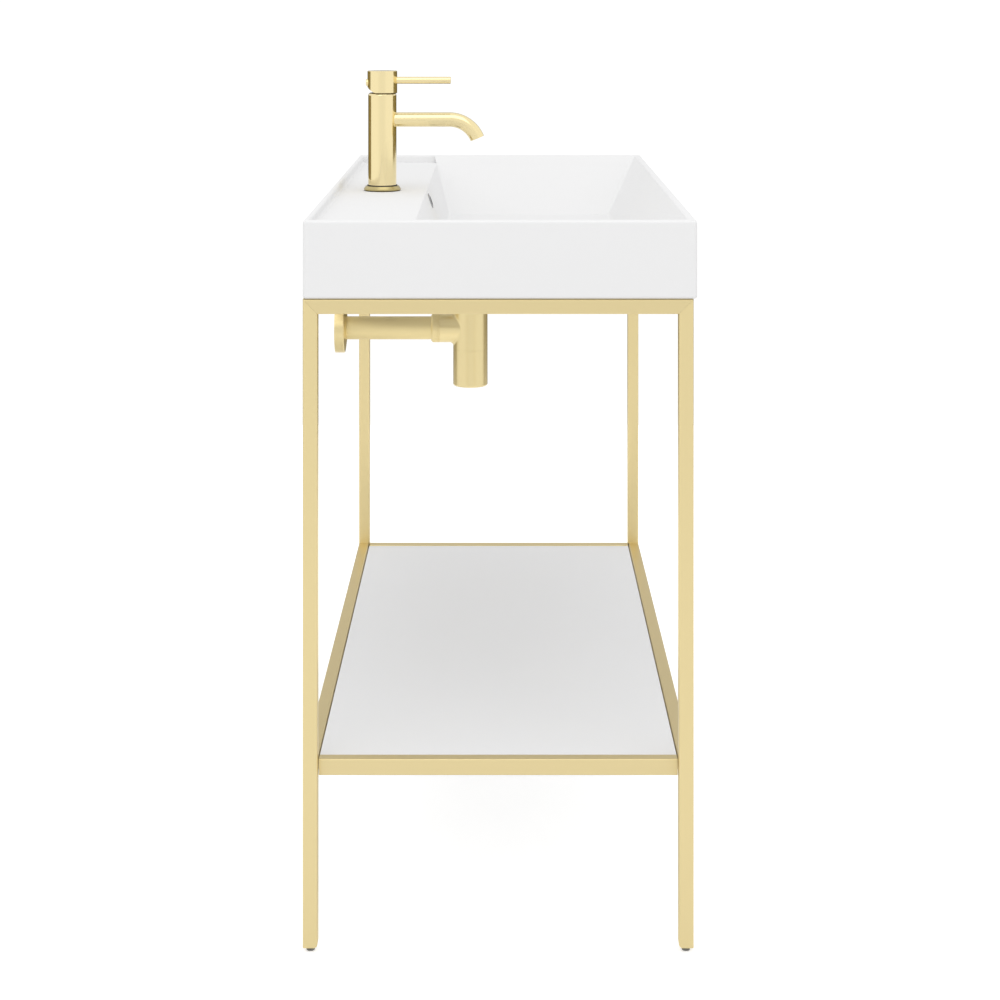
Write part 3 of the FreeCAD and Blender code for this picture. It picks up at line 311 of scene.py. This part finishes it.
def aerator_mesh(node, body):
    """Woven wires across the mouth of the spout, square to its axis."""
    low, high = (Vector(corner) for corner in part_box(node))
    axis = Vector((0, -math.cos(MOUTH_SLOPE), -math.sin(MOUTH_SLOPE)))
    across = Vector((1, 0, 0))
    up = axis.cross(across)
    width = high.x - low.x
    half_length = ((high.y - low.y) - math.sin(MOUTH_SLOPE) * width) / (2 * math.cos(MOUTH_SLOPE))
    centre = (low + high) / 2 + axis * (half_length - WIRE_INSET)
    mesh = bmesh.new()
    count = int(MOUTH_RADIUS / WIRE_PITCH)
    for along, side in ((across, up), (up, across)):
        turn = Matrix((along, side, axis)).transposed().to_4x4()
        for k in range(-count, count + 1):
            length = 2 * math.sqrt(MOUTH_RADIUS ** 2 - (k * WIRE_PITCH) ** 2)
            place = Matrix.Translation(centre + side * (k * WIRE_PITCH)) @ turn
            stretch = Matrix.Diagonal((length, WIRE_WIDTH, WIRE_WIDTH, 1))
            bmesh.ops.create_cube(mesh, size=1.0, matrix=place @ stretch)
    finished("aerator_wires", mesh, "steel", body)


for corner in ("front_left", "front_right", "rear_left", "rear_right"):
    threaded("foot_screw_" + corner, "foot_" + corner)
threaded("tap_stud", "fixture")
aerator_mesh("tap_aerator", "fixture")


# ---------------------------------------------------------------- basin corners
RIM_END_WIDTH = 0.012
RIM_ROUND = 0.003
RIM_ROUND_STEPS = 4
LEDGE_DROP = 0.0115
LEDGE_FROM_WALL = 0.123  # from the wall to the bowl's rear edge, at the height of the rim
END_WALL_RUN = 151 / 81  # how far the bowl's end walls run in for each unit of drop, and its rear wall
REAR_WALL_RUN = 28 / 81
CORNER_LENGTH = 0.043
CORNER_LIFT = 0.00003  # how far the corner's surface lies above the end wall that it carries on
CORNER_SINK = 0.0003  # how far its underside lies in the ceramic below it


def basin_corner(name, side):
    """Carries the sloping end wall of the bowl on to the front corner of the ledge, up to the rim."""
    low, high = (Vector(corner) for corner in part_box("basin"))
    wall_x = high.x - RIM_END_WIDTH
    outer_x = wall_x + RIM_ROUND
    rim = high.z + CORNER_LIFT
    ledge = high.z - LEDGE_DROP
    toe_x = wall_x - LEDGE_DROP * END_WALL_RUN
    descent = math.atan(1 / END_WALL_RUN)
    round_x = wall_x + RIM_ROUND * math.tan(descent / 2)
    profile = [(outer_x, rim)]
    for i in range(RIM_ROUND_STEPS + 1):
        angle = descent * i / RIM_ROUND_STEPS
        profile.append((round_x - RIM_ROUND * math.sin(angle), rim - RIM_ROUND * (1 - math.cos(angle))))
    profile += [(toe_x, ledge + CORNER_LIFT), (toe_x, ledge - CORNER_SINK), (outer_x, ledge - CORNER_SINK)]
    rear_y = high.y - LEDGE_FROM_WALL
    mesh = bmesh.new()
    front = [mesh.verts.new((side * x, rear_y - CORNER_LENGTH, z)) for x, z in profile]
    rear = [mesh.verts.new((side * x, rear_y - REAR_WALL_RUN * (high.z - z), z)) for x, z in profile]
    mesh.faces.new(front)
    mesh.faces.new(rear)
    for i in range(len(profile)):
        j = (i + 1) % len(profile)
        mesh.faces.new((front[i], front[j], rear[j], rear[i]))
    finished(name, mesh, "ceramic", "fixture")


basin_corner("basin_corner_left", -1)
basin_corner("basin_corner_right", 1)


# ---------------------------------------------------------------- floor and light
FLOOR_SIDE = 5.0
FLOOR_DROP = 0.0005  # how far it lies below the feet
FLOOR_TONE = 0.80
FLOOR_GLOW_CAMERA = 0.50
FLOOR_GLOW_GLOSS = 0.18


def studio_floor():
    """White floor, seen brighter by the camera and by gloss: white paper that still takes the shadow."""
    bpy.ops.mesh.primitive_plane_add(size=FLOOR_SIDE, location=(0, 0, -FLOOR_DROP))
    floor = bpy.context.object
    floor.name = "floor"
    material = bpy.data.materials.new("floor_white")
    material.use_nodes = True
    tree = material.node_tree
    tree.nodes.clear()
    diffuse = tree.nodes.new("ShaderNodeBsdfDiffuse")
    diffuse.inputs["Color"].default_value = (FLOOR_TONE, FLOOR_TONE, FLOOR_TONE, 1)
    glow = tree.nodes.new("ShaderNodeEmission")
    path = tree.nodes.new("ShaderNodeLightPath")
    total = tree.nodes.new("ShaderNodeAddShader")
    out = tree.nodes.new("ShaderNodeOutputMaterial")
    gloss = combine(tree, "MAXIMUM", path.outputs["Is Glossy Ray"], path.outputs["Is Transmission Ray"])
    gloss_glow = combine(tree, "MULTIPLY", gloss, FLOOR_GLOW_GLOSS)
    camera_glow = combine(tree, "MULTIPLY", path.outputs["Is Camera Ray"], FLOOR_GLOW_CAMERA)
    tree.links.new(combine(tree, "ADD", camera_glow, gloss_glow), glow.inputs["Strength"])
    tree.links.new(diffuse.outputs["BSDF"], total.inputs[0])
    tree.links.new(glow.outputs["Emission"], total.inputs[1])
    tree.links.new(total.outputs["Shader"], out.inputs["Surface"])
    floor.data.materials.append(material)


CURTAIN_TURN = math.radians(1)  # how far the curtain's middle is turned from +X towards -Y
CURTAIN_EDGE = (0.12, 0.24)  # cosine of the angle from its middle, where it fades out and where it is full
CURTAIN_TOP = (-0.005, 0.06)  # sine of the elevation, where it is full and where it has faded out
CURTAIN_TONE = (0.26, 0.21, 0.09)
CAMERA_SIDE = (0.78, 1.0)  # how squarely a direction points to that side, where its dip starts and is full
CAMERA_SIDE_DIP = 0.08  # how much dimmer the room is there
FAR_SIDE = (0.55, 0.92)
FAR_SIDE_DIP = 0.35
BACKDROP = 1.05  # strength of the white that the camera sees


def studio_world():
    """Even white room with a dark curtain low on the far side. The camera itself sees plain white."""
    world = bpy.data.worlds.new("studio")
    bpy.context.scene.world = world
    world.use_nodes = True
    tree = world.node_tree
    tree.nodes.clear()
    where = tree.nodes.new("ShaderNodeTexCoord")
    split = tree.nodes.new("ShaderNodeSeparateXYZ")
    tree.links.new(where.outputs["Generated"], split.inputs["Vector"])

    def ramp(value, span, low, high):
        return spread(tree, value, low, high, span, "SMOOTHSTEP")

    turned_x = combine(tree, "MULTIPLY", split.outputs["X"], math.cos(CURTAIN_TURN))
    turned_y = combine(tree, "MULTIPLY", split.outputs["Y"], -math.sin(CURTAIN_TURN))
    sideways = ramp(combine(tree, "ADD", turned_x, turned_y), CURTAIN_EDGE, 0.0, 1.0)
    low_down = ramp(split.outputs["Z"], CURTAIN_TOP, 1.0, 0.0)
    curtain = combine(tree, "MULTIPLY", low_down, sideways)
    camera_dip = ramp(combine(tree, "MULTIPLY", split.outputs["X"], -1.0), CAMERA_SIDE, 0.0, CAMERA_SIDE_DIP)
    far_dip = ramp(split.outputs["X"], FAR_SIDE, 0.0, FAR_SIDE_DIP)
    dips = combine(tree, "ADD", camera_dip, far_dip)
    glow = tree.nodes.new("ShaderNodeBackground")
    tree.links.new(two_tones(tree, curtain, (1, 1, 1), CURTAIN_TONE), glow.inputs["Color"])
    tree.links.new(combine(tree, "SUBTRACT", 1.0, dips), glow.inputs["Strength"])
    white = tree.nodes.new("ShaderNodeBackground")
    white.inputs["Color"].default_value = (1, 1, 1, 1)
    white.inputs["Strength"].default_value = BACKDROP
    path = tree.nodes.new("ShaderNodeLightPath")
    mix = tree.nodes.new("ShaderNodeMixShader")
    out = tree.nodes.new("ShaderNodeOutputWorld")
    tree.links.new(path.outputs["Is Camera Ray"], mix.inputs["Fac"])
    tree.links.new(glow.outputs["Background"], mix.inputs[1])
    tree.links.new(white.outputs["Background"], mix.inputs[2])
    tree.links.new(mix.outputs["Shader"], out.inputs["Surface"])


def softbox(name, place, target, size, power):
    """Rectangular lamp that the camera doesn't see."""
    light = bpy.data.lights.new(name, "AREA")
    light.shape = "RECTANGLE"
    light.size, light.size_y = size
    light.energy = power
    box = bpy.data.objects.new(name, light)
    box.location = place
    box.visible_camera = False
    box.rotation_euler = (Vector(target) - Vector(place)).to_track_quat("-Z", "Y").to_euler()
    bpy.context.scene.collection.objects.link(box)


studio_floor()
studio_world()
softbox("top_box", place=(-1.4, -0.2, 3.0), target=(-0.4, 0, 0.5), size=(2.2, 2.0), power=9)
softbox("low_box", place=(0, 0, 0.3), target=(0, 0, 0.8), size=(0.8, 0.36), power=0.35)
softbox("front_box", place=(-3.2, 1.2, 2.4), target=(0, 0, 0.7), size=(1.6, 1.6), power=6)


# ---------------------------------------------------------------- camera
CAMERA_DISTANCE = 2.945
CAMERA_HEIGHT = 1.117
FOCAL_PIXELS = 2100.0
HORIZON_ROW = -6.0
PICTURE = 1000.0
SENSOR = 36

camera_data = bpy.data.cameras.new("camera")
camera = bpy.data.objects.new("camera", camera_data)
bpy.context.scene.collection.objects.link(camera)
bpy.context.scene.camera = camera
camera.location = (-CAMERA_DISTANCE, 0, CAMERA_HEIGHT)
camera.rotation_euler = (math.pi / 2, 0, -math.pi / 2)
camera_data.sensor_width = SENSOR
camera_data.lens = SENSOR * FOCAL_PIXELS / PICTURE
camera_data.shift_y = -(PICTURE / 2 - HORIZON_ROW) / PICTURE

bpy.context.scene.view_settings.view_transform = "Standard"
